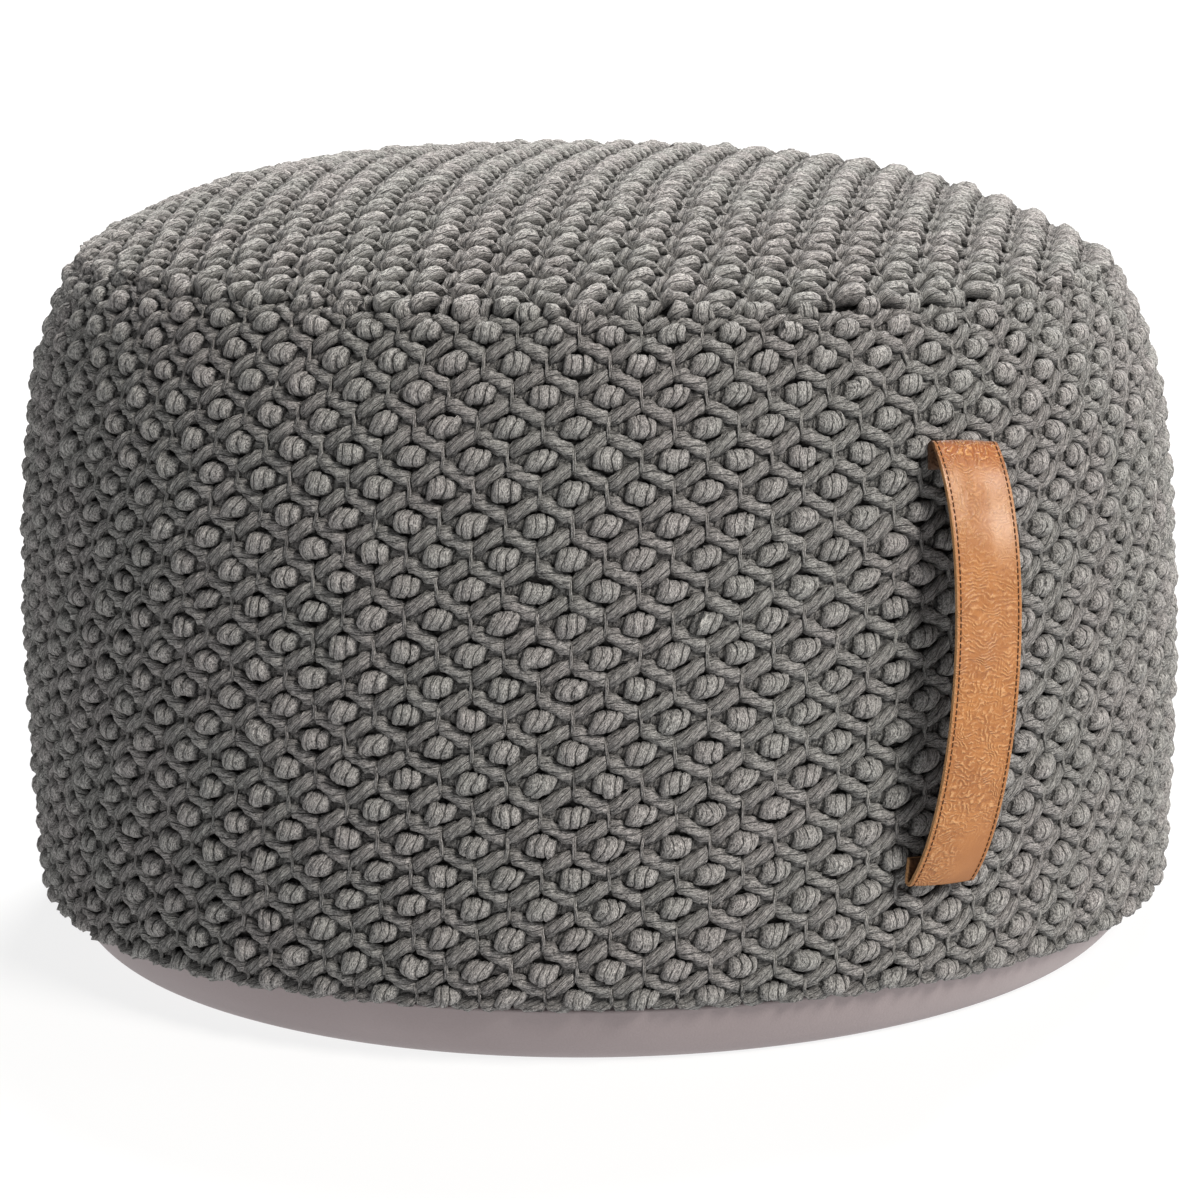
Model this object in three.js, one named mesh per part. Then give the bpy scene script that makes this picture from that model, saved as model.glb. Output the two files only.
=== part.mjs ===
// Woven pouf: a filled round floor cushion in a knotted weave, with a plain base and a leather strap handle.
// Millimetres, +Z up. The origin is on the floor under the middle of the base, and the strap faces -Y.
import * as THREE from 'three';
import { mergeVertices } from 'three/addons/utils/BufferGeometryUtils.js';

// Filled form: heights above the floor and radii out to the tips of the knots
const BASE_SEAM_UP = 30;
const TOP_SEAM_UP = 345;
const TOP_SEAM_OUT = 264;
const CROWN_HEIGHT = 49;
const CROWN_POWER = 3.4;
const SEAM_GAP = 0.3;

// The filling lies a little higher on one side: share of the height lost at the low side's rim
const REACH = 300;
const SETTLE_SHARE = 0.0173;
const SETTLE_TOWARDS = THREE.MathUtils.degToRad(-32.3);

// Strap handle: a doubled leather band whose tails fold under and lie on the weave
const STRAP_WIDTH = 37;
const STRAP_THICK = 2.2;
const STRAP_TOP_UP = 282;
const STRAP_BOTTOM_UP = 79;
const STRAP_BOW_OUT = 324;
const STRAP_LEAN = 19;
const STRAP_SHIFT = -2;
const STRAP_EDGE_ROUND = 0.5;
const TAIL_LENGTH = 13;
const TAIL_GAP = 0.3;
const FOLD_RADIUS = 1.7;
const FOLD_ANGLE = THREE.MathUtils.degToRad(32);

// Smoothness of the solids
const TURN_STEPS = 80;
const SIDE_STEPS = 24;
const CROWN_STEPS = 11;
const FOLD_STEPS = 7;
const BAND_STEPS = 20;

// Side band, from the hem turned in over the base to the edge drawn in by the top seam
const SIDE_SECTIONS = [
  { up: BASE_SEAM_UP, out: 287 },
  { up: 33.5, out: 294.5 },
  { up: 42, out: 297.3 },
  { up: 62, out: 299 },
  { up: 105, out: 301 },
  { up: 190, out: 300 },
  { up: 240, out: 296.5 },
  { up: 287, out: 290 },
  { up: 322, out: 278 },
  { up: 340, out: 267.5 },
  { up: TOP_SEAM_UP, out: 259 },
];

// Base, from the edge of its flat underside to the seam below the hem
const BASE_SECTIONS = [
  { up: 0, out: 268 },
  { up: 2, out: 272 },
  { up: 12, out: 281 },
  { up: 24, out: 287.5 },
  { up: BASE_SEAM_UP - SEAM_GAP, out: 289.5 },
];

// Rim of the top panel, rolled over from the seam to the start of the crown
const TOP_RIM_SECTIONS = [
  { up: TOP_SEAM_UP + SEAM_GAP, out: 258 },
  { up: TOP_SEAM_UP + 2, out: 262.5 },
];

const toPoint = (section) => new THREE.Vector2(section.out, section.up);

// Smooth line through the sections of a filled form
function sectionCurve(sections, steps) {
  const knots = sections.map((section) => new THREE.Vector3(section.out, section.up, 0));
  const curve = new THREE.CatmullRomCurve3(knots, false, 'centripetal');
  return curve.getPoints(steps).map((point) => new THREE.Vector2(point.x, point.y));
}

const sideLine = sectionCurve(SIDE_SECTIONS, SIDE_STEPS);

// Radius of the side band at a height
function sideReach(up) {
  const above = sideLine.findIndex((point) => point.y > up);
  const low = sideLine[above - 1];
  const high = sideLine[above];
  return THREE.MathUtils.mapLinear(up, low.y, high.y, low.x, high.x);
}

// Solid of a line turned about the upright axis, closed flat across its two ends
function turned(line) {
  const foot = new THREE.Vector2(0, line[0].y);
  const head = new THREE.Vector2(0, line[line.length - 1].y);
  const closed = line[line.length - 1].x > 0 ? [foot, ...line, head] : [foot, ...line];
  return new THREE.LatheGeometry(closed, TURN_STEPS).rotateX(Math.PI / 2);
}

// Crown of the top panel, flat in the middle and falling away to the seam
function topLine() {
  const rim = TOP_RIM_SECTIONS.map(toPoint);
  const crown = [];
  for (let step = 1; step <= CROWN_STEPS; step += 1) {
    const out = TOP_SEAM_OUT * Math.cos((step / CROWN_STEPS) * (Math.PI / 2));
    const fall = (out / TOP_SEAM_OUT) ** CROWN_POWER;
    crown.push(new THREE.Vector2(step < CROWN_STEPS ? out : 0, TOP_SEAM_UP + CROWN_HEIGHT * (1 - fall)));
  }
  return [...rim, ...crown];
}

// One end of the strap's middle line: its tail on the weave, then the fold, then the way the band leaves it
function strapEnd(foldUp, towardsFold) {
  const onWeave = (up) => new THREE.Vector2(sideReach(up), up);
  const turnUp = foldUp - towardsFold * (FOLD_RADIUS + STRAP_THICK / 2);
  const startUp = foldUp - towardsFold * TAIL_LENGTH;
  const along = onWeave(turnUp).sub(onWeave(startUp)).normalize();
  const away = new THREE.Vector2(along.y, -along.x).multiplyScalar(towardsFold);
  const lift = TAIL_GAP + STRAP_THICK / 2;
  const tailStart = onWeave(startUp).addScaledVector(away, lift);
  const foldCentre = onWeave(turnUp).addScaledVector(away, lift + FOLD_RADIUS);
  const points = [tailStart];
  for (let step = 0; step <= FOLD_STEPS; step += 1) {
    const turn = ((Math.PI - FOLD_ANGLE) * step) / FOLD_STEPS;
    const point = foldCentre.clone().addScaledVector(away, -FOLD_RADIUS * Math.cos(turn));
    points.push(point.addScaledVector(along, FOLD_RADIUS * Math.sin(turn)));
  }
  const heading = away.multiplyScalar(Math.sin(FOLD_ANGLE)).addScaledVector(along, -Math.cos(FOLD_ANGLE));
  return { points, exit: points[points.length - 1], heading };
}

// Middle line of the strap seen from its edge, from the upper tail over the bow to the lower tail
function strapRoute() {
  const upper = strapEnd(STRAP_TOP_UP, 1);
  const lower = strapEnd(STRAP_BOTTOM_UP, -1);
  const bow = STRAP_BOW_OUT - (upper.exit.x + lower.exit.x) / 2;
  const pull = ((8 / 3) * bow) / (upper.heading.x + lower.heading.x);
  const band = new THREE.CubicBezierCurve(
    upper.exit,
    upper.exit.clone().addScaledVector(upper.heading, pull),
    lower.exit.clone().addScaledVector(lower.heading, pull),
    lower.exit,
  );
  const between = band.getPoints(BAND_STEPS).slice(1, -1);
  return [...upper.points, ...between, ...lower.points.reverse()];
}

// Outline of the strap's edge: its middle line thickened to both sides
function strapOutline() {
  const route = strapRoute();
  const last = route.length - 1;
  const outer = [];
  const inner = [];
  route.forEach((point, index) => {
    const before = route[Math.max(index - 1, 0)];
    const after = route[Math.min(index + 1, last)];
    const heading = after.clone().sub(before).normalize();
    const side = new THREE.Vector2(-heading.y, heading.x).multiplyScalar(STRAP_THICK / 2);
    outer.push(point.clone().add(side));
    inner.unshift(point.clone().sub(side));
  });
  return new THREE.Shape([...outer, ...inner]);
}

// The strap as a solid: its edge outline drawn across its width, turned a little with its foot to one side
function strapGeometry() {
  const depth = STRAP_WIDTH - 2 * STRAP_EDGE_ROUND;
  const geometry = new THREE.ExtrudeGeometry(strapOutline(), {
    depth,
    steps: 1,
    bevelEnabled: true,
    bevelThickness: STRAP_EDGE_ROUND,
    bevelSize: STRAP_EDGE_ROUND,
    bevelOffset: -STRAP_EDGE_ROUND,
    bevelSegments: 1,
  });
  const facing = new THREE.Matrix4().makeBasis(
    new THREE.Vector3(0, -1, 0),
    new THREE.Vector3(0, 0, 1),
    new THREE.Vector3(-1, 0, 0),
  );
  const span = STRAP_TOP_UP - STRAP_BOTTOM_UP;
  const middle = (STRAP_TOP_UP + STRAP_BOTTOM_UP) / 2;
  const lean = new THREE.Matrix4().makeRotationY(Math.atan2(STRAP_LEAN, span));
  return geometry
    .translate(0, 0, -depth / 2)
    .applyMatrix4(facing)
    .translate(0, 0, -middle)
    .applyMatrix4(lean)
    .translate(STRAP_SHIFT, 0, middle);
}

// The whole form sinks a little towards one side, in step with its height
function settle(geometry) {
  const position = geometry.attributes.position;
  const towards = new THREE.Vector2(Math.cos(SETTLE_TOWARDS), Math.sin(SETTLE_TOWARDS));
  for (let index = 0; index < position.count; index += 1) {
    const across = towards.x * position.getX(index) + towards.y * position.getY(index);
    position.setZ(index, position.getZ(index) * (1 - (SETTLE_SHARE * across) / REACH));
  }
  return geometry;
}

// A named piece with its own finish
function piece(name, geometry, finish) {
  settle(geometry);
  geometry.deleteAttribute('normal');
  geometry.deleteAttribute('uv');
  const merged = mergeVertices(geometry, 1e-3);
  merged.computeVertexNormals();
  const mesh = new THREE.Mesh(merged, new THREE.MeshStandardMaterial(finish));
  mesh.name = name;
  return mesh;
}

const yarn = { color: 0x6b6964, roughness: 0.95, metalness: 0 };
const baseCloth = { color: 0x8d8381, roughness: 0.75, metalness: 0 };
const leather = { color: 0xc98f58, roughness: 0.45, metalness: 0 };

const pouf = new THREE.Group();
pouf.add(
  piece('base_panel', turned(sectionCurve(BASE_SECTIONS, BASE_SECTIONS.length + 1)), baseCloth),
  piece('side_band', turned(sideLine), yarn),
  piece('top_panel', turned(topLine()), yarn),
  piece('strap_handle', strapGeometry(), leather),
);

export default pouf;
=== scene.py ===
# Looks of a woven pouf: knotted yarn over a dark ground, a plain base and a leather strap.
# Metres, +Z up, the strap faces -Y. Sizes below are in millimetres until a point is placed.
import math
from dataclasses import dataclass

import bmesh
import bpy
import numpy as np
from mathutils import Matrix, Vector


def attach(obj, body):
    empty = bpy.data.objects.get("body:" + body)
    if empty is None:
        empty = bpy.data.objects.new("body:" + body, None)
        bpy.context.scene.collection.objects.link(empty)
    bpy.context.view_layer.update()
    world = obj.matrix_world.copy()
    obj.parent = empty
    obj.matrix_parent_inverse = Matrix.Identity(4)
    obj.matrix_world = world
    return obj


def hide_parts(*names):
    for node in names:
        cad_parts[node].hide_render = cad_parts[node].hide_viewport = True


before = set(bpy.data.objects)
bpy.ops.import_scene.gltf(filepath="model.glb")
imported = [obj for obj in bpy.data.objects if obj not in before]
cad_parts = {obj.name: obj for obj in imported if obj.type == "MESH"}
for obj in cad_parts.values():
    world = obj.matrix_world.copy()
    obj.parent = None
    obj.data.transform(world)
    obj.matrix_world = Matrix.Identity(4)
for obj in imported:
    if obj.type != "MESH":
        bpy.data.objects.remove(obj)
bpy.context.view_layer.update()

CHANCE = np.random.default_rng(4107)
MM = 0.001

# Filled form: (up, out) to the tips of the knots, as in the solids but a little blunter at the hem
SIDE_SECTIONS = (
    (30, 290), (31.5, 296.3), (38, 298.2), (62, 299.3), (105, 301), (190, 300),
    (240, 296.5), (287, 290), (322, 278), (340, 267.5), (345, 259),
)
BASE_SECTIONS = ((0, 268), (2, 272), (12, 281), (24, 287.5), (29.7, 289.8))
BASE_TURNED_IN = ((30.4, 287), (30.8, 281))
TOP_SEAM_UP = 345
TOP_SEAM_OUT = 264
CROWN_HEIGHT = 49
CROWN_POWER = 3.4
CROWN_POINTS = 90
SIDE_SPACING = 2.0
BASE_SPACING = 1.6
BASE_FLAT_OUT = (0.0, 130.0, 230.0)
GROUND_SPACING = 6
GROUND_STEPS = 112
BASE_STEPS = 192

# The filling lies a little lower on one side: share of the height lost at that rim
REACH = 300
SETTLE_SHARE = 0.0173
SETTLE_TOWARDS = math.radians(-32.3)

# The hem hangs lower to both sides of its highest place, fading out up the side
HEM_SAG = 10.5
HEM_SAG_RUN = 130
HEM_HIGHEST = math.radians(-32.3)

# Weave: bobbles of the long yarn in half-dropped rows, zigzag yarn between the rows
WEAVE_DEPTH = 10.4
ROLL_RADIUS = 8.0
COLUMNS = 62
COLUMN_PITCH = 30.2
SIDE_ROWS = 22
FIRST_ROW_RUN = 10.9
SIDE_ROW_PITCH = 14.45
SIDE_PHASE = math.radians(-31.9)
TOP_COLUMN_PITCH = 25.5
TOP_ROW_PITCH = 14.6
TOP_PLUMP = 1.06
TOP_WIDEN = 1.28
SEAM_ROW_INSET = 3.5
SEAM_ROW_PLUMP = 1.12
SEAM_ROW_SPREAD = 4.0

# The upper rows of the side drift along the round
DRIFT_FROM_ROW = 13
DRIFT_ROWS = 8
DRIFT_MOST = 5.0

# Rings along one bobble: along the yarn, half height, half depth, middle above the ground, painted shade
# in its grooves and sunk ends, ply
BOBBLE_RINGS = np.array((
    (-15.1, 3.4, 2.4, 2.2, 1.0, -1.0),
    (-8.3, 3.4, 2.4, 2.2, 1.0, -0.2),
    (-7.0, 3.6, 2.8, 2.9, 0.8, 0.0),
    (-5.7, 4.6, 4.3, 4.6, 0.1, 0.3),
    (-3.5, 5.3, 5.2, 5.4, 0.0, 0.8),
    (-2.7, 5.4, 5.3, 5.4, 0.4, 1.0),
    (-1.9, 5.5, 5.6, 5.4, 0.0, 1.15),
    (1.2, 5.5, 5.6, 5.4, 0.0, 1.8),
    (2.1, 5.2, 5.4, 5.4, 0.6, 2.0),
    (3.0, 5.05, 5.2, 5.3, 0.0, 2.2),
    (5.4, 4.2, 4.1, 4.6, 0.1, 2.7),
    (6.8, 3.5, 2.7, 2.9, 0.8, 3.0),
    (8.1, 3.4, 2.4, 2.2, 1.0, 3.2),
))
BOBBLE_GROOVES = ((5, 0.0, 0.7), (8, 0.4, 1.3))
BOBBLE_LOBES = np.array((0, 0, 0, 0, 0, 0, 1, 1, 1, 2, 2, 2, 2))
GROOVE_DEPTH = 1.35
GROOVE_TALL_SHARE = 0.8
GROOVE_SHIFT = 0.8
BOBBLE_SIDES = np.radians((0, 30, 60, 92, 180, 268, 300, 330))
BOBBLE_SLANT = 0.30
BOBBLE_CURL = 0.9
BOBBLE_BEND = 0.4
PLUMP_LIFT = 6

# Chance differences between bobbles, as the widths of their spread
BOBBLE_SIZE_SPREAD = 0.08
LOBE_SIZE_SPREAD = 0.07
BOBBLE_LIFT_SPREAD = 0.5
BOBBLE_LENGTH_SPREAD = 0.08
BOBBLE_ALONG_SPREAD = 0.9
BOBBLE_ACROSS_SPREAD = 0.7
LOBE_ACROSS_SPREAD = 0.8
BOBBLE_TILT_SPREAD = 0.15
BOBBLE_SLANT_SPREAD = 0.22
BOBBLE_BEND_SPREAD = 1.6
HOOP_TURN_SPREAD = 0.3
HOOP_TWIST = 0.03
SPREAD_LIMIT = 1.3

# Fibre maps: where a yarn's map may start, the plies of one bobble and the step past a yarn's last ring
FIBRE_STARTS = 900
BOBBLE_PLIES = 4
BOBBLE_RADIUS = 6
LAST_PLY_STEP = 0.8
LAST_RUN_STEP = 3
LAST_THREAD_STEP = 2

# Painted shade where a yarn presses on its neighbours
CONTACT_SHADE_REACH = 1.1
CONTACT_SHADE_MOST = 0.84

# Sides of a bobble whose plies run along the yarn, as on the top: angle, girth, ply
HOOP_SIDES = np.radians((0, 38, 66, 96, 180, 264, 294, 322))
HOOP_GIRTH = np.array((1.03, 0.87, 1.0, 0.9, 1.0, 0.88, 1.02, 0.86))
HOOP_PLY = np.array((0.5, 1.0, 1.5, 2.0, 3.5, 5.0, 5.5, 6.0, 6.5))
HOOP_PLIES_APART = 7
HOOP_CROSS_GROOVE = 0.2

# Rings along one plump length of zigzag yarn, from one pinch to the next: share of its length, girth
ZIGZAG_RINGS = np.array(((0.0, 0.66), (0.09, 0.92), (0.33, 1.02), (0.67, 1.02), (0.91, 0.9)))
ZIGZAG_HALF_HEIGHT = 5.1
ZIGZAG_HALF_DEPTH = 4.2
ZIGZAG_SWING = 3.0
ZIGZAG_EASE = 0.09
ZIGZAG_GIRTH_SPREAD = 0.08
ZIGZAG_LIFT_SPREAD = 0.5
JOINT_ALONG_SPREAD = 0.8
JOINT_ACROSS_SPREAD = 0.6
# Strength of the painted shade where a yarn presses on its neighbours, on the side and on the top
SIDE_SHADE = 0.66
TOP_SHADE = 1.8
SIDE_ZIGZAG = {"stout": 0.93, "lift": 4.7, "dip": 1.6, "shade": SIDE_SHADE}
HEM_ZIGZAG = {"stout": 1.0, "lift": 6.6, "dip": 1.4, "shade": 0.5}
HEM_DROP = 2.0
TOP_HOOD = {"stout": 1.06, "lift": 6.6, "dip": 3.4, "shade": TOP_SHADE}
TOP_LINK = {"stout": 0.84, "lift": 4.4, "dip": 1.2, "shade": TOP_SHADE}
PLIES = 5
PLY_SIDES = 2
PLY_GROOVE = 0.17
# Painted shade in the ply grooves and at the pinches
PLY_SHADE = 0.25
PINCH_SHADE = 0.6
PINCH_GROOVE = 0.5
TWIST_LENGTH = 44.0

# Binding thread over the pinches of the zigzag: along the thread, above the ground
THREAD_RINGS = np.array(((-6.8, 2.8), (-4.4, 6.6), (0.0, 5.5), (4.4, 6.6), (6.8, 2.8)))
THREAD_RADIUS = 1.02
THREAD_SIDES = 4
THREAD_LEAN_SPREAD = 0.1
THREAD_ALONG_SPREAD = 0.35
THREAD_RADIUS_SPREAD = 0.2
THREAD_FIBRE_STEP = 0.5
THREAD_FIBRE_START = 0.3

# Strap, with the values of the solid
STRAP_WIDTH = 37
STRAP_THICK = 2.2
STRAP_TOP_UP = 282
STRAP_BOTTOM_UP = 79
STRAP_BOW_OUT = 324
STRAP_LEAN = 19
STRAP_SHIFT = -2
TAIL_LENGTH = 13
TAIL_GAP = 0.3
FOLD_RADIUS = 1.7
FOLD_ANGLE = math.radians(32)
TAIL_STEPS = (0.0, 4.0, 7.0)
FOLD_POINTS = 12
BAND_POINTS = 52
STITCH_PITCH = 3.0
STITCH_INSET = 2.0
STITCH_START = 2.0
STITCH_END = 1.5
STITCH_HALF_LENGTH = 1.25
STITCH_HALF_WIDTH = 0.42
STITCH_HALF_DEPTH = 0.36
STITCH_LEAN_SPREAD = 0.12
STITCH_SIDES = 6
STITCH_FIBRE_STEP = 0.4

# Rings along one stitch: share of its half length, out from the strap's middle layer
STITCH_RINGS = np.array(((-1.0, 0.3), (-0.8, 0.8), (0.0, 0.96), (0.8, 0.8), (1.0, 0.3)))

# Zones along the strap, each from where it begins to change to where it has changed
TAIL_ENDS = (12.0, 17.0)
FOLD_ENDS = (19.0, 32.0)
SMOOTH_ENDS = (52.0, 80.0)
BOW_BEGINS = (62.0, 76.0)
BOW_ENDS = (108.0, 128.0)
HANDLED_BEGINS = (92.0, 118.0)
HANDLED_ENDS = (180.0, 205.0)
# Where the painted highlights lie on the upper band, right and left
PAINTED_HIGHLIGHT_RIGHT_BEGINS = (28.0, 44.0)
PAINTED_HIGHLIGHT_RIGHT_ENDS = (58.0, 80.0)
PAINTED_HIGHLIGHT_LEFT_BEGINS = (24.0, 32.0)
PAINTED_HIGHLIGHT_LEFT_ENDS = (42.0, 60.0)

# Bake map of a joined mesh: long strips of rings side by side
BAKE_STRIP_SHAPE = 2.0
BAKE_MARGIN = 0.04
BAKE_CAP_PLACE = 0.001


def smooth_line(sections, spacing):
    """Close points of a smooth line through (up, out) sections, as arrays of out and up."""
    up, out = np.array(sections, float).T
    chord = np.concatenate(([0], np.cumsum(np.hypot(np.diff(out), np.diff(up)))))
    count = max(2, int(chord[-1] / spacing))
    at = np.linspace(0, chord[-1], count)
    index = np.clip(np.searchsorted(chord, at, side="right") - 1, 0, len(chord) - 2)
    span = chord[index + 1] - chord[index]
    t = (at - chord[index]) / span
    blend = (
        (1 + 2 * t) * (1 - t) ** 2,
        t**2 * (3 - 2 * t),
        t * (1 - t) ** 2 * span,
        t**2 * (t - 1) * span,
    )
    found = []
    for values in (out, up):
        slope = np.gradient(values, chord)
        parts = (values[index], values[index + 1], slope[index], slope[index + 1])
        found.append(sum(b * p for b, p in zip(blend, parts)))
    return found


def settled(points):
    """Points in metres after the whole form has sunk a little towards one side."""
    across = points[..., 0] * math.cos(SETTLE_TOWARDS) + points[..., 1] * math.sin(SETTLE_TOWARDS)
    sunk = points.copy()
    sunk[..., 2] *= 1 - SETTLE_SHARE * across / REACH
    return sunk * MM


class Skin:
    """A filled form's surface: a line turned about the upright axis, read by angle, run and lift."""

    def __init__(self, out, up):
        self.out = out
        self.up = up
        self.run = np.concatenate(([0], np.cumsum(np.hypot(np.diff(out), np.diff(up)))))
        self.length = self.run[-1]
        slope_out = np.gradient(out, self.run)
        slope_up = np.gradient(up, self.run)
        size = np.hypot(slope_out, slope_up)
        self.facing_out = slope_up / size
        self.facing_up = -slope_out / size

    def line(self, run, lift):
        """Out and up of points; a run past either end rolls over the edge of the ground."""
        facing_out = np.interp(run, self.run, self.facing_out)
        facing_up = np.interp(run, self.run, self.facing_up)
        out = np.interp(run, self.run, self.out) - WEAVE_DEPTH * facing_out
        up = np.interp(run, self.run, self.up) - WEAVE_DEPTH * facing_up
        roll = (np.minimum(run, 0) + np.maximum(run - self.length, 0)) / ROLL_RADIUS
        height = lift + WEAVE_DEPTH
        out = out + height * (facing_out * np.cos(roll) - facing_up * np.sin(roll))
        up = up + height * (facing_up * np.cos(roll) + facing_out * np.sin(roll))
        return out, up

    def place(self, angle, run, lift):
        out, up = self.line(run, lift)
        return settled(np.stack((out * np.sin(angle), -out * np.cos(angle), up), axis=-1))


def crown_line():
    """Line of the top panel from its seam to the middle of the crown."""
    out = TOP_SEAM_OUT * np.cos(np.linspace(0, math.pi / 2, CROWN_POINTS))
    return out, TOP_SEAM_UP + CROWN_HEIGHT * (1 - (out / TOP_SEAM_OUT) ** CROWN_POWER)


SIDE = Skin(*smooth_line(SIDE_SECTIONS, SIDE_SPACING))
TOP = Skin(*crown_line())


def on_side(x, y, height):
    """Place of a point of the side cloth: x along the rows, y up the side, height above the ground."""
    angle = SIDE_PHASE + 2 * math.pi * x / (COLUMNS * COLUMN_PITCH)
    placed = SIDE.place(angle, y, height - WEAVE_DEPTH)
    sag = HEM_SAG * np.sin(angle - HEM_HIGHEST) ** 2 * np.clip(1 - y / HEM_SAG_RUN, 0, 1)
    placed[..., 2] -= sag * MM
    return placed


def on_top(x, y, height):
    """Place of a point of the top cloth, laid flat with its rows along the strap's width."""
    return TOP.place(np.arctan2(x, -y), TOP.length - np.hypot(x, y), height - WEAVE_DEPTH)


# Joined yarns


@dataclass
class Strand:
    """Rings of points along one yarn, the painted shade of each point, and the run of its fibres."""

    points: np.ndarray
    painted_shade: np.ndarray
    fibre: np.ndarray
    closed: bool


def strand_faces(strand, start):
    """Faces of one yarn whose first point has the number start, and the place of each corner on it."""
    rings, sides = strand.painted_shade.shape
    along = np.arange(rings if strand.closed else rings - 1)
    r, s = (grid.ravel() for grid in np.meshgrid(along, np.arange(sides), indexing="ij"))
    corners = np.stack(((r, s), (r + 1, s), (r + 1, s + 1), (r, s + 1)), axis=1)
    number = start + corners[0] % rings * sides + corners[1] % sides
    return number.T, corners.transpose(2, 1, 0)


def joined(name, strands):
    """One mesh object of many yarns, with their painted shade, fibre map and bake map."""
    points, painted_shades, faces, fibre, packed = [], [], [], [], []
    start = 0
    total = sum(len(strand.points) for strand in strands)
    sides = strands[0].painted_shade.shape[1]
    strips = max(1, round(math.sqrt(total / (BAKE_STRIP_SHAPE * sides))))
    strip_length = math.ceil(total / strips)
    for strand in strands:
        quads, corners = strand_faces(strand, start)
        ring, side = corners[..., 0], corners[..., 1]
        faces.extend(quads.tolist())
        fibre.append(strand.fibre[ring, side].reshape(-1, 2))
        first = start // sides + ring[:, :1]
        strip = first // strip_length
        up = (first - strip * strip_length + ring - ring[:, :1]) / (strip_length + 0.5)
        across = (strip + BAKE_MARGIN + (1 - 2 * BAKE_MARGIN) * side / sides) / strips
        packed.append(np.stack((across, up), axis=-1).reshape(-1, 2))
        if not strand.closed:
            last = start + len(strand.points) * sides
            for cap in (list(range(start, start + sides)), list(range(last - 1, last - sides - 1, -1))):
                faces.append(cap)
                fibre.append(np.zeros((sides, 2)))
                packed.append(np.full((sides, 2), BAKE_CAP_PLACE))
        points.append(strand.points.reshape(-1, 3))
        painted_shades.append(strand.painted_shade.ravel())
        start += strand.painted_shade.size
    mesh = bpy.data.meshes.new(name)
    mesh.from_pydata(np.concatenate(points).tolist(), [], faces)
    mesh.uv_layers.new(name="OFBake").uv.foreach_set("vector", np.concatenate(packed).ravel())
    mesh.uv_layers.new(name="fibre").uv.foreach_set("vector", np.concatenate(fibre).ravel())
    mesh.attributes.new("painted_shade", "FLOAT", "POINT").data.foreach_set("value", np.concatenate(painted_shades))
    mesh.shade_smooth()
    made = bpy.data.objects.new(name, mesh)
    bpy.context.scene.collection.objects.link(made)
    return made


# Stitches of the weave, as points of the cloth: x along the rows, y across them, height above the ground


def spread(size, width):
    """Small chance differences, mostly within a width either way."""
    return np.clip(CHANCE.normal(0, width / 2, size), -SPREAD_LIMIT * width, SPREAD_LIMIT * width)


def painted_contact_shade(turn, at_side):
    """Painted shade on a yarn's side that is turned away from the open, where it presses on its
    neighbours.
    """
    return np.clip(at_side * (1 - CONTACT_SHADE_REACH * np.cos(turn)), 0, CONTACT_SHADE_MOST)


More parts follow.
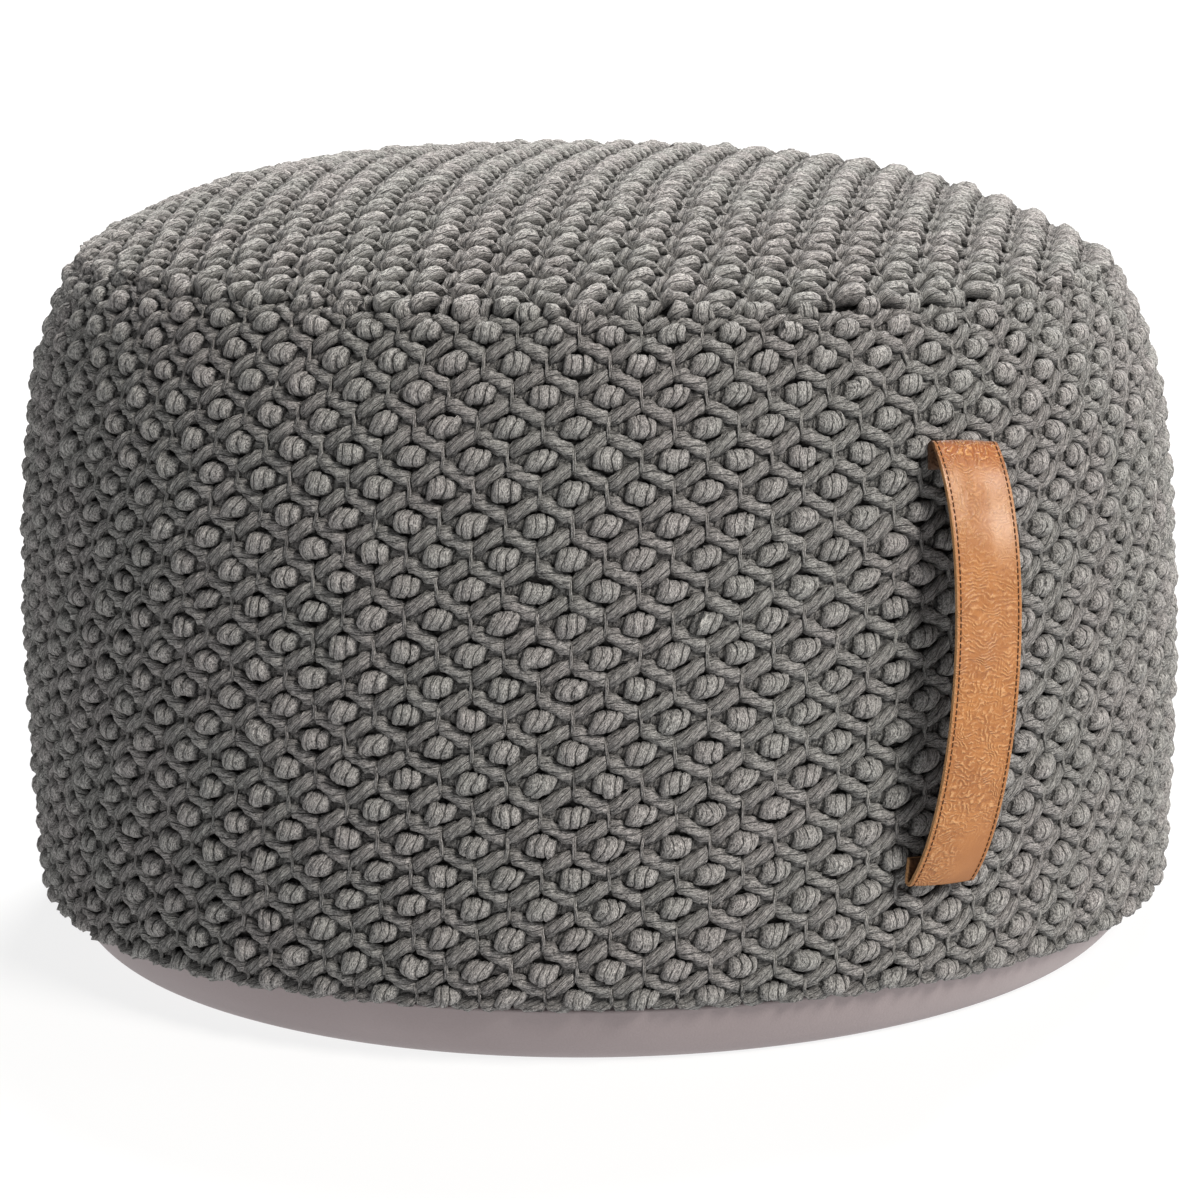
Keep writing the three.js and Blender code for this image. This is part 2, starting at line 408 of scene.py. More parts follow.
def bobble_rings(centres, y, pitch=COLUMN_PITCH, plump=1.0, hooped=False):
    """Rings of one row of the long yarn, in bobbles at the centres and sunk between them.

    The plies of a hooped bobble run along the yarn, the others across it.
    """
    count = len(centres)
    along, tall, deep, lift, painted_shade, ply = (np.tile(column, (count, 1)) for column in BOBBLE_RINGS.T)
    swell = (tall - tall.min()) / np.ptp(tall)
    if hooped:
        along = along * TOP_WIDEN
    along[:, 0] = -pitch / 2
    for ring, least, most in BOBBLE_GROOVES:
        cut = GROOVE_DEPTH * CHANCE.uniform(least, most, count) * (HOOP_CROSS_GROOVE if hooped else 1.0)
        tall[:, ring] -= GROOVE_TALL_SHARE * cut
        deep[:, ring] -= cut
        # The painted shade in a groove grows with its depth
        painted_shade[:, ring] *= np.clip(cut / GROOVE_DEPTH, 0, 1)
        along[:, ring] += spread(count, GROOVE_SHIFT)
    size = plump + spread((count, 1), BOBBLE_SIZE_SPREAD)
    size = size + spread((count, 3), LOBE_SIZE_SPREAD)[:, BOBBLE_LOBES]
    size = 1 + (size - 1) * swell
    tall, deep = tall * size, deep * size
    lift = lift + swell * (spread((count, 1), BOBBLE_LIFT_SPREAD) + PLUMP_LIFT * (plump - 1))
    stretch = 1 + spread((count, 1), BOBBLE_LENGTH_SPREAD) * swell
    middle = along * stretch + swell * spread((count, 1), BOBBLE_ALONG_SPREAD) + centres[:, None]
    tilt = spread((count, 1), BOBBLE_TILT_SPREAD) * swell
    slant = BOBBLE_SLANT + spread((count, 1), BOBBLE_SLANT_SPREAD)
    bend = (BOBBLE_BEND + spread((count, 1), BOBBLE_BEND_SPREAD)) * swell
    shift = spread((count, 1), BOBBLE_ACROSS_SPREAD)
    shift = shift + spread((count, 3), LOBE_ACROSS_SPREAD)[:, BOBBLE_LOBES]
    across = y + shift * swell + tilt * along
    turn = (HOOP_SIDES if hooped else BOBBLE_SIDES) + np.zeros((count, len(BOBBLE_RINGS), 1))
    girth = 1.0
    if hooped:
        turn = turn + spread((count, 1, 1), HOOP_TURN_SPREAD)
        turn = turn + HOOP_TWIST * along[..., None] * spread((count, 1, 1), 1.0)
        girth = 1 + (HOOP_GIRTH - 1) * swell[..., None]
    side_y = tall[..., None] * girth * np.sin(turn)
    curl_start = CHANCE.uniform(0, 2 * math.pi, (count, 1, 1))
    curl = BOBBLE_CURL * swell[..., None] * np.sin(2 * turn + curl_start)
    x = middle[..., None] + slant[..., None] * side_y + bend[..., None] * np.cos(turn) ** 2 + curl
    height = lift[..., None] + deep[..., None] * girth * np.cos(turn)
    rings = count * len(BOBBLE_RINGS)
    grid = np.stack((x, across[..., None] + side_y, height), axis=-1).reshape(rings, -1, 3)
    # Painted shade where the yarn presses on its neighbours, in its grooves and on its sunk ends
    shade = painted_contact_shade(turn, TOP_SHADE if hooped else SIDE_SHADE)
    dark = np.maximum(painted_shade[..., None], shade).reshape(rings, -1)
    chance = CHANCE.integers(0, FIBRE_STARTS)
    if hooped:
        run = np.append(middle.ravel(), middle.ravel()[-1] + LAST_RUN_STEP)
        around = HOOP_PLY + HOOP_PLIES_APART * chance
        fibre = np.stack(np.broadcast_arrays(run[:, None], around[None, :]), axis=-1)
    else:
        reach = np.append(BOBBLE_SIDES, 2 * math.pi) * BOBBLE_RADIUS
        run = (ply + BOBBLE_PLIES * np.arange(count)[:, None] + BOBBLE_PLIES * chance).ravel()
        run = np.append(run, run[-1] + LAST_PLY_STEP)
        fibre = np.stack(np.broadcast_arrays(reach[None, :], run[:, None]), axis=-1)
    return grid, dark, fibre


def zigzag_rings(joints_x, joints_y, stout, lift, dip, shade, closed_length=0.0):
    """Rings of one zigzag yarn through its pinches; closed_length is the way round where its ends meet."""
    if closed_length:
        joints_x = np.append(joints_x, joints_x[0] + closed_length)
        joints_y = np.append(joints_y, joints_y[0])
    share, girth = ZIGZAG_RINGS.T
    lengths = len(joints_x) - 1
    eased = share - ZIGZAG_EASE * np.sin(2 * math.pi * share)
    x = joints_x[:-1, None] + np.diff(joints_x)[:, None] * share
    y = joints_y[:-1, None] + np.diff(joints_y)[:, None] * eased
    plump = stout * girth * (1 + spread((lengths, 1), ZIGZAG_GIRTH_SPREAD) * (girth > girth[0]))
    arch = (girth - girth[0]) / (1 - girth[0])
    height = lift - dip * (1 - arch) + arch * spread((lengths, 1), ZIGZAG_LIFT_SPREAD)
    whole = x[-1, -1] - x[0, 0]
    rate = 2 * math.pi / TWIST_LENGTH
    if closed_length:
        whole = closed_length
        rate = 2 * math.pi * round(whole / TWIST_LENGTH) / whole
    sides = PLIES * PLY_SIDES
    number = np.arange(sides + 1)
    turn = (rate * x + CHANCE.uniform(0, 2 * math.pi))[..., None] + 2 * math.pi * number[:-1] / sides
    groove = (number[:-1] % PLY_SIDES == 0) * (PINCH_GROOVE + (1 - PINCH_GROOVE) * arch)[:, None]
    radius = plump[..., None] * (1 - PLY_GROOVE * groove)
    side_y = ZIGZAG_HALF_HEIGHT * radius * np.sin(turn)
    up = height[..., None] + ZIGZAG_HALF_DEPTH * radius * np.cos(turn)
    grid = np.stack((x[..., None] + 0 * turn, y[..., None] + side_y, up), axis=-1)
    rings = lengths * len(share)
    # Painted shade in the ply grooves, at the pinches and where the yarn presses on its neighbours
    dark = np.maximum(PLY_SHADE * groove, (1 - arch)[:, None] * PINCH_SHADE)
    dark = np.maximum(dark, painted_contact_shade(turn, np.asarray(shade)[..., None]))
    run = np.append(x.ravel(), x.ravel()[-1] + LAST_RUN_STEP)
    around = number / PLY_SIDES + PLIES * CHANCE.integers(0, FIBRE_STARTS)
    fibre = np.stack(np.broadcast_arrays(run[:, None], around[None, :]), axis=-1)
    return grid.reshape(rings, sides, 3), dark.reshape(rings, sides), fibre


def thread_rings(x, y):
    """Rings of one binding thread, upright across a row between two bobbles."""
    step, height = THREAD_RINGS.T
    lean = spread((), THREAD_LEAN_SPREAD)
    middle_x = x + lean * step + spread(len(step), THREAD_ALONG_SPREAD)
    turn = 2 * math.pi * (np.arange(THREAD_SIDES) + 0.5) / THREAD_SIDES
    radius = THREAD_RADIUS * (1 + spread((), THREAD_RADIUS_SPREAD))
    grid = np.stack(np.broadcast_arrays(
        middle_x[:, None] - radius * np.sin(turn),
        y + step[:, None],
        height[:, None] + radius * np.cos(turn),
    ), axis=-1)
    dark = np.zeros(grid.shape[:2])
    start = CHANCE.integers(0, FIBRE_STARTS) + THREAD_FIBRE_START
    around = np.arange(THREAD_SIDES + 1) * THREAD_FIBRE_STEP + start
    run = np.append(step, step[-1] + LAST_THREAD_STEP)
    fibre = np.stack(np.broadcast_arrays(run[:, None], around[None, :]), axis=-1)
    return grid, dark, fibre


def laid(rings, on_cloth, closed):
    """A strand from rings of cloth points."""
    grid, dark, fibre = rings
    return Strand(on_cloth(grid[..., 0], grid[..., 1], grid[..., 2]), dark, fibre, closed)


# Side cloth: rows run round the form and close on themselves

ROUND = COLUMNS * COLUMN_PITCH


def side_row_run(row):
    return FIRST_ROW_RUN + SIDE_ROW_PITCH * row


def side_columns(row):
    """Places of the bobbles along a row: every second row lies half a pitch over."""
    drift = DRIFT_MOST * max(0.0, (row - DRIFT_FROM_ROW) / DRIFT_ROWS)
    return COLUMN_PITCH * (np.arange(COLUMNS) + (0.5 if row % 2 == 0 else 0.0)) + drift


def side_zigzag(row):
    """Zigzag yarn above a row: up over its bobbles, down under those of the next row."""
    peaks = side_columns(row)
    valleys = side_columns(row + 1)
    order = 0 if peaks[0] < valleys[0] else 1
    x = np.empty(2 * COLUMNS)
    y = np.empty(2 * COLUMNS)
    x[order::2], x[1 - order::2] = peaks, valleys
    middle = (side_row_run(row) + side_row_run(row + 1)) / 2
    y[order::2], y[1 - order::2] = middle + ZIGZAG_SWING, middle - ZIGZAG_SWING
    x += spread(x.shape, JOINT_ALONG_SPREAD)
    y += spread(y.shape, JOINT_ACROSS_SPREAD)
    if row < 0:
        return zigzag_rings(x, y - HEM_DROP, **HEM_ZIGZAG, closed_length=ROUND)
    return zigzag_rings(x, y, **SIDE_ZIGZAG, closed_length=ROUND)


def side_pieces():
    bobbles = []
    zigzags = []
    threads = []
    for row in range(SIDE_ROWS):
        bobbles.append(laid(bobble_rings(side_columns(row), side_row_run(row)), on_side, True))
        for x in side_columns(row) + COLUMN_PITCH / 2:
            threads.append(laid(thread_rings(x, side_row_run(row)), on_side, False))
    for row in range(-1, SIDE_ROWS):
        zigzags.append(laid(side_zigzag(row), on_side, True))
    squeezed = side_columns(SIDE_ROWS) + spread(COLUMNS, SEAM_ROW_SPREAD)
    seam_row = bobble_rings(squeezed, SIDE.length - SEAM_ROW_INSET, plump=SEAM_ROW_PLUMP)
    bobbles.append(laid(seam_row, on_side, True))
    half = SIDE_ROWS // 2
    return {
        "side_bobbles_lower": bobbles[:half],
        "side_bobbles_upper": bobbles[half:],
        "side_zigzag_lower": zigzags[:half + 1],
        "side_zigzag_upper": zigzags[half + 1:],
        "side_binding_threads": threads,
    }


# Top cloth: straight rows cut off by the round seam

TOP_CUT = TOP.length + 5.5
END_TUCK = 5.0
END_TAPER = 5
END_LEAST = 0.35
LEAST_RINGS = 8
THREAD_FROM_CUT = 9


def cut_to_round(rings, row_y):
    """Rings of a row that lie inside the round cut, with the cut ends drawn in and tucked under."""
    grid, dark, fibre = rings
    middle = grid.mean(axis=1)
    from_edge = TOP_CUT - np.hypot(middle[:, 0], row_y)
    inside = np.flatnonzero(from_edge > 0)
    if len(inside) < LEAST_RINGS:
        return None
    keep = slice(inside[0], inside[-1] + 1)
    grid = grid[keep].copy()
    middle = middle[keep][:, None, :]
    close = np.clip(from_edge[keep] / END_TAPER, END_LEAST, 1)[:, None, None]
    grid = middle + (grid - middle) * close
    grid[..., 2] = grid[..., 2] * close[..., 0] - END_TUCK * (1 - close[..., 0])
    return grid, dark[keep], fibre[inside[0]:inside[-1] + 2]


def top_columns(row, half):
    count = int(half / TOP_COLUMN_PITCH) + 1
    return TOP_COLUMN_PITCH * (np.arange(-count, count + 1) + (0.5 if row % 2 else 0.0))


def top_pieces():
    bobbles = []
    zigzags = []
    threads = []
    reach = int(TOP_CUT / TOP_ROW_PITCH) + 1
    for row in range(-reach, reach + 1):
        y = row * TOP_ROW_PITCH
        half = math.sqrt(max(0.0, TOP_CUT**2 - y**2))
        centres = top_columns(row, half)
        rings = cut_to_round(bobble_rings(centres, y, TOP_COLUMN_PITCH, TOP_PLUMP, True), y)
        if rings:
            bobbles.append(laid(rings, on_top, False))
        for x in centres + TOP_COLUMN_PITCH / 2:
            if math.hypot(x, y) < TOP_CUT - THREAD_FROM_CUT:
                threads.append(laid(thread_rings(x, y), on_top, False))
        middle = y + TOP_ROW_PITCH / 2
        joints = np.sort(np.concatenate((centres, top_columns(row + 1, half))))
        over = np.isin(joints, centres)
        joints_y = middle + np.where(over, ZIGZAG_SWING, -ZIGZAG_SWING)
        joints_y = joints_y + spread(joints.shape, JOINT_ACROSS_SPREAD)
        falling = over[:-1, None]
        form = {key: np.where(falling, TOP_HOOD[key], TOP_LINK[key]) for key in TOP_HOOD}
        joints_x = joints + spread(joints.shape, JOINT_ALONG_SPREAD)
        rings = cut_to_round(zigzag_rings(joints_x, joints_y, **form), middle)
        if rings:
            zigzags.append(laid(rings, on_top, False))
    return {"top_bobbles": bobbles, "top_zigzag": zigzags, "top_binding_threads": threads}


# Turned forms


def turned(name, out, up, steps):
    """A closed object: a line from axis to axis turned once about the upright axis, then settled."""
    bm = bmesh.new()
    verts = [bm.verts.new((o * MM, 0, u * MM)) for o, u in zip(out, up)]
    edges = [bm.edges.new(pair) for pair in zip(verts, verts[1:])]
    bmesh.ops.spin(bm, geom=verts + edges, cent=(0, 0, 0), axis=(0, 0, 1), angle=2 * math.pi,
                   steps=steps, use_merge=True, use_duplicate=False)
    bmesh.ops.remove_doubles(bm, verts=bm.verts, dist=1e-6)
    bmesh.ops.recalc_face_normals(bm, faces=bm.faces)
    for vert in bm.verts:
        vert.co = settled(np.array(vert.co) / MM)
    mesh = bpy.data.meshes.new(name)
    bm.to_mesh(mesh)
    bm.free()
    mesh.shade_smooth()
    made = bpy.data.objects.new(name, mesh)
    bpy.context.scene.collection.objects.link(made)
    return made


def ground_form(name, skin, head_up=None):
    """The filled form under the yarn, closed across its foot and head; head_up is the head's middle."""
    out, up = skin.line(np.linspace(0, skin.length, int(skin.length / GROUND_SPACING)), -WEAVE_DEPTH)
    if head_up is None:
        return turned(name, [0.0, *out, 0.0], [up[0], *up, up[-1]], GROUND_STEPS)
    return turned(name, [0.0, *out[:-1], 0.0], [up[0], *up[:-1], head_up], GROUND_STEPS)


def base_form():
    out, up = smooth_line(BASE_SECTIONS, BASE_SPACING)
    turned_up, turned_out = np.array(BASE_TURNED_IN).T
    out = np.concatenate((BASE_FLAT_OUT, out, turned_out, [0.0]))
    up = np.concatenate((np.zeros(len(BASE_FLAT_OUT)), up, turned_up, turned_up[-1:]))
    return turned("base_cloth", out, up, BASE_STEPS)


# Strap


def strap_end(fold_up, towards_fold):
    """Middle line of one end: tail on the weave, fold, and the way the band leaves it, as (out, up)."""
    def on_weave(up):
        return np.array((np.interp(up, SIDE.up, SIDE.out), up))

    turn_up = fold_up - towards_fold * (FOLD_RADIUS + STRAP_THICK / 2)
    start_up = fold_up - towards_fold * TAIL_LENGTH
    along = on_weave(turn_up) - on_weave(start_up)
    along /= np.linalg.norm(along)
    away = np.array((along[1], -along[0])) * towards_fold
    lift = TAIL_GAP + STRAP_THICK / 2
    tail = [on_weave(start_up) + away * lift + along * step for step in TAIL_STEPS]
    centre = on_weave(turn_up) + away * (lift + FOLD_RADIUS)
    fold = []
    for turn in np.linspace(0, math.pi - FOLD_ANGLE, FOLD_POINTS):
        fold.append(centre - away * FOLD_RADIUS * math.cos(turn) + along * FOLD_RADIUS * math.sin(turn))
    heading = away * math.sin(FOLD_ANGLE) - along * math.cos(FOLD_ANGLE)
    return tail + fold, heading


def strap_route():
    upper, leaving = strap_end(STRAP_TOP_UP, 1)
    lower, entering = strap_end(STRAP_BOTTOM_UP, -1)
    bow = STRAP_BOW_OUT - (upper[-1][0] + lower[-1][0]) / 2
    pull = 8 / 3 * bow / (leaving[0] + entering[0])
    corners = (upper[-1], upper[-1] + leaving * pull, lower[-1] + entering * pull, lower[-1])
    t = np.linspace(0, 1, BAND_POINTS)[1:-1, None]
    weights = ((1 - t) ** 3, 3 * t * (1 - t) ** 2, 3 * t**2 * (1 - t), t**3)
    band = sum(w * c for w, c in zip(weights, corners))
    return np.array([*upper, *band, *lower[::-1]])


ROUTE = strap_route()
ROUTE_RUN = np.concatenate(([0], np.cumsum(np.hypot(*np.diff(ROUTE, axis=0).T))))
ROUTE_HEADING = np.gradient(ROUTE, ROUTE_RUN, axis=0)
ROUTE_HEADING /= np.linalg.norm(ROUTE_HEADING, axis=1)[:, None]


def on_strap(across, run, lift):
    """Place of a point of the strap: across its width, along its route, out from its middle layer."""
    out = np.interp(run, ROUTE_RUN, ROUTE[:, 0])
    up = np.interp(run, ROUTE_RUN, ROUTE[:, 1])
    facing_out = -np.interp(run, ROUTE_RUN, ROUTE_HEADING[:, 1])
    facing_up = np.interp(run, ROUTE_RUN, ROUTE_HEADING[:, 0])
    out = out + lift * facing_out
    up = up + lift * facing_up
    middle = (STRAP_TOP_UP + STRAP_BOTTOM_UP) / 2
    lean = math.atan2(STRAP_LEAN, STRAP_TOP_UP - STRAP_BOTTOM_UP)
    x = STRAP_SHIFT + across * math.cos(lean) + (up - middle) * math.sin(lean)
    z = middle - across * math.sin(lean) + (up - middle) * math.cos(lean)
    return settled(np.stack(np.broadcast_arrays(x, -out, z), axis=-1))


# Half outline of the strap's section: across, out from the middle layer, cut edge
STRAP_SECTION = (
    (0.0, 1.55, 0.0), (5.0, 1.5, 0.0), (9.0, 1.34, 0.0), (13.0, 1.12, 0.0), (15.4, 0.98, 0.0),
    (16.5, 0.83, 0.0), (17.3, 0.98, 0.0), (17.9, 0.98, 0.2), (18.3, 0.86, 0.7), (18.48, 0.6, 1.0),
    (18.48, 0.16, 1.0), (18.2, 0.0, 1.0),
)


def strap_band():
    quarter = list(STRAP_SECTION)
    right = quarter + [(a, -t, e) for a, t, e in quarter[-2::-1]]
    outline = right + [(-a, t, e) for a, t, e in right[-2:0:-1]]
    bm = bmesh.new()
    across_layer = bm.verts.layers.float.new("across")
    edge_layer = bm.verts.layers.float.new("cut_edge")
    along_layer = bm.verts.layers.float.new("along")
    thick_layer = bm.verts.layers.float.new("lift")
    ring = []
    for across, lift, edge in outline:
        vert = bm.verts.new((across * MM, lift * MM, 0))
        vert[across_layer] = across
        vert[thick_layer] = lift
        vert[edge_layer] = edge
        ring.append(vert)
    edges = [bm.edges.new(pair) for pair in zip(ring, ring[1:] + ring[:1])]
    bm.faces.new(ring)
    rows = [(0.0, ring)]
    for run in ROUTE_RUN[1:]:
        grown = bmesh.ops.extrude_edge_only(bm, edges=edges)["geom"]
        verts = [part for part in grown if isinstance(part, bmesh.types.BMVert)]
        fresh = set(verts)
        edges = [e for e in grown if isinstance(e, bmesh.types.BMEdge) and fresh.issuperset(e.verts)]
        bmesh.ops.translate(bm, vec=(0, 0, MM), verts=verts)
        rows.append((run, verts))
    bmesh.ops.edgeloop_fill(bm, edges=edges)
    bmesh.ops.recalc_face_normals(bm, faces=bm.faces)
    for run, verts in rows:
        for vert in verts:
            vert[along_layer] = run
            vert.co = on_strap(vert[across_layer], run, vert[thick_layer])
    mesh = bpy.data.meshes.new("strap_leather_band")
    bm.to_mesh(mesh)
    bm.free()
    mesh.shade_smooth()
    made = bpy.data.objects.new("strap_leather_band", mesh)
    bpy.context.scene.collection.objects.link(made)
    return made


def strap_stitches():
    strands = []
    share, lift = STITCH_RINGS.T
    turn = 2 * math.pi * np.arange(STITCH_SIDES) / STITCH_SIDES
    for side in (-1, 1):
        for middle in np.arange(STITCH_START, ROUTE_RUN[-1] - STITCH_END, STITCH_PITCH):
            run = middle + STITCH_HALF_LENGTH * share
            lean = spread((), STITCH_LEAN_SPREAD)
            across = side * (STRAP_WIDTH / 2 - STITCH_INSET) + lean * share
            points = on_strap(
                across[:, None] + STITCH_HALF_WIDTH * np.sin(turn),
                run[:, None] + 0 * turn,
                lift[:, None] + STITCH_HALF_DEPTH * np.cos(turn),
            )
            dark = np.zeros(points.shape[:2])
            fibre = np.zeros((len(share) + 1, STITCH_SIDES + 1, 2))
            fibre[..., 0] = np.append(run, run[-1])[:, None]
            fibre[..., 1] = np.arange(STITCH_SIDES + 1) * STITCH_FIBRE_STEP
            strands.append(Strand(points, dark, fibre, False))
    return joined("strap_stitches", strands)


# Finishes


class Tone:
    """A value in a finish; arithmetic on it adds Math nodes."""

    def __init__(self, finish, socket):
        self.finish = finish
        self.socket = socket

    def maths(self, operation, *values):
        return self.finish.node("ShaderNodeMath", {"operation": operation}, dict(enumerate(values)))

    def __add__(self, other):
        return self.maths("ADD", self, other)

    def __sub__(self, other):
        return self.maths("SUBTRACT", self, other)

    def __rsub__(self, other):
        return self.maths("SUBTRACT", other, self)

    def __mul__(self, other):
        return self.maths("MULTIPLY", self, other)

    def __truediv__(self, other):
        return self.maths("DIVIDE", self, other)

    def __rtruediv__(self, other):
        return self.maths("DIVIDE", other, self)

    __radd__ = __add__
    __rmul__ = __mul__

    def between(self, low, high):
        """0 below low, 1 above high, smooth between."""
        settings = {"interpolation_type": "SMOOTHSTEP"}
        inputs = {"Value": self, "From Min": low, "From Max": high}
        return self.finish.node("ShaderNodeMapRange", settings, inputs)


class Finish:
    """A procedural material on one shader."""

    def __init__(self, name, **constants):
        self.material = bpy.data.materials.new(name)
        self.material.use_nodes = True
        self.tree = self.material.node_tree
        self.shader = next(n for n in self.tree.nodes if n.type == "BSDF_PRINCIPLED")
        for socket, value in constants.items():
            self.shader.inputs[socket.replace("_", " ")].default_value = value

    def node(self, kind, settings=None, inputs=None, output=None):
        made = self.tree.nodes.new(kind)
        for key, value in (settings or {}).items():
            setattr(made, key, value)
        for key, value in (inputs or {}).items():
            self.feed(self.pick(made.inputs, key), value)
        return Tone(self, self.pick(made.outputs, output or 0))

    @staticmethod
    def pick(sockets, key):
        if isinstance(key, int):
            return [socket for socket in sockets if socket.enabled][key]
        return next(socket for socket in sockets if socket.enabled and socket.name == key)

    def feed(self, socket, value):
        if isinstance(value, Tone):
            self.tree.links.new(value.socket, socket)
        else:
            socket.default_value = value

    def show(self, **inputs):
        for socket, value in inputs.items():
            self.feed(self.shader.inputs[socket.replace("_", " ")], value)

    def mix(self, factor, first, second, blend="MIX"):
        settings = {"data_type": "RGBA", "blend_type": blend}
        return self.node("ShaderNodeMix", settings, {"Factor": factor, "A": first, "B": second})

    def attribute(self, name):
        return self.node("ShaderNodeAttribute", {"attribute_name": name}, output="Fac")

    def place(self):
        return self.node("ShaderNodeTexCoord", output="Object")

    def scaled(self, vector, by):
        return self.node("ShaderNodeVectorMath", {"operation": "MULTIPLY"}, {0: vector, 1: by})

    def noise(self, vector, scale, detail=2.0, roughness=0.5):
        inputs = {"Vector": vector, "Scale": scale, "Detail": detail, "Roughness": roughness}
        return self.node("ShaderNodeTexNoise", None, inputs, "Fac")

    def ridge(self, vector, width, detail=1.0):
        """Thin wandering lines, where a noise passes its middle."""
        off = self.noise(vector, 1.0, detail) - 0.5
        return 1 - off.maths("ABSOLUTE", off).between(0.0, width)

    def ripples(self, way, spacing):
        """Soft ripples at an even spacing along a way, 0 between them and 1 on their backs."""
        half = spacing / 2
        return (way.maths("PINGPONG", way, half) / half).between(0.0, 1.0)

    def bump(self, height, distance, strength=1.0):
        inputs = {"Height": height, "Distance": distance, "Strength": strength}
        return self.node("ShaderNodeBump", None, inputs)


def yarn_finish():
    yarn = Finish("soft_grey_yarn", Roughness=0.95, Sheen_Weight=0.1, Sheen_Roughness=0.6,
                  Specular_IOR_Level=0.15)
    fibre = yarn.node("ShaderNodeUVMap", {"uv_map": "fibre"})
    strands = yarn.noise(yarn.scaled(fibre, (0.2, 6.0, 1.0)), 1.0, 3.0, 0.6).between(0.3, 0.7)
    hairs = yarn.noise(yarn.scaled(fibre, (0.5, 13.0, 1.0)), 1.0, 2.0).between(0.34, 0.66)
    specks = yarn.noise(yarn.scaled(fibre, (0.5, 8.0, 1.0)), 1.0, 1.0).between(0.62, 0.7)
    ply = yarn.node("ShaderNodeSeparateXYZ", None, {0: fibre}, "Y")
    wander = (yarn.noise(yarn.scaled(fibre, (0.3, 1.0, 1.0)), 1.0, 1.0) - 0.5) * 0.3
    to_groove = (ply + wander + 0.5).maths("FRACT", ply + wander + 0.5) - 0.5
    groove = 1 - to_groove.maths("ABSOLUTE", to_groove).between(0.0, 0.09)
    place = yarn.place()
    patches = yarn.noise(place, 26.0, 2.0)
    groove_shade_patches = yarn.noise(place, 140.0, 2.0)
    lumps = yarn.noise(place, 420.0, 2.0)
    fuzz = yarn.noise(place, 1500.0, 2.0, 0.6).between(0.3, 0.7)
    painted_shade = yarn.attribute("painted_shade")
    sunk = painted_shade.between(0.86, 0.96)
    bars = (ply * 19).maths("SINE", ply * 19).between(0.0, 0.9)
    streak = strands * 0.32 + hairs * 0.38 + fuzz * 0.3
    body = yarn.mix(streak.between(0.1, 0.9), (0.11, 0.108, 0.107, 1), (0.56, 0.55, 0.543, 1))
    hue = yarn.mix(patches.between(0.35, 0.65), (0.97, 0.985, 0.965, 1), (1.02, 0.995, 0.99, 1))
    body = yarn.mix(1.0, body, hue, "MULTIPLY")
    # Painted shade: dark lines in the ply grooves, stronger in patches, and the painted shade each point
    # carries, less of it on the sunk yarn, which gets dark stripes; specks and lumps are the yarn's own
    # tone
    lines = (1 - groove * (0.35 + groove_shade_patches.between(0.35, 0.6) * 0.5)) * (1 - specks * 0.65)
    shade = (1 - painted_shade * (0.94 - sunk * 0.44)) * lines * (1 - sunk * bars * 0.5) * (0.8 + lumps * 0.4)
    grey = yarn.node("ShaderNodeCombineColor", None, {0: shade, 1: shade * 0.99, 2: shade * 0.985})
    yarn.show(Base_Color=yarn.mix(1.0, body, grey, "MULTIPLY"))
    raised = strands * 0.35 + hairs * 0.3 + fuzz * 0.2 + lumps * 0.6
    relief = raised - groove * 0.7 - sunk * bars * 0.5 - specks * 0.4
    yarn.show(Normal=yarn.bump(relief, 0.0011, 0.9))
    return yarn.material


def ground_finish():
    ground = Finish("dark_ground_cloth", Roughness=0.95, Specular_IOR_Level=0.1)
    place = ground.place()
    threads = ground.noise(ground.scaled(place, (420, 420, 900)), 1.0, 2.0)
    body = ground.mix(threads.between(0.35, 0.65), (0.1, 0.097, 0.094, 1), (0.28, 0.27, 0.262, 1))
    ground.show(Base_Color=body)
    ground.show(Normal=ground.bump(threads, 0.0008))
    return ground.material


def base_finish():
    base = Finish("smooth_taupe_cloth", Roughness=0.7, Specular_IOR_Level=0.35, Sheen_Weight=0.1)
    place = base.place()
    cloud = base.noise(place, 9.0, 3.0)
    grain = base.noise(place, 900.0, 2.0)
    body = base.mix(cloud.between(0.3, 0.7), (0.29, 0.243, 0.246, 1), (0.32, 0.27, 0.273, 1))
    shade = 0.94 + grain * 0.12
    grey = base.node("ShaderNodeCombineColor", None, {0: shade, 1: shade, 2: shade})
    base.show(Base_Color=base.mix(1.0, body, grey, "MULTIPLY"))
    base.show(Normal=base.bump(grain, 0.0002, 0.6))
    return base.material


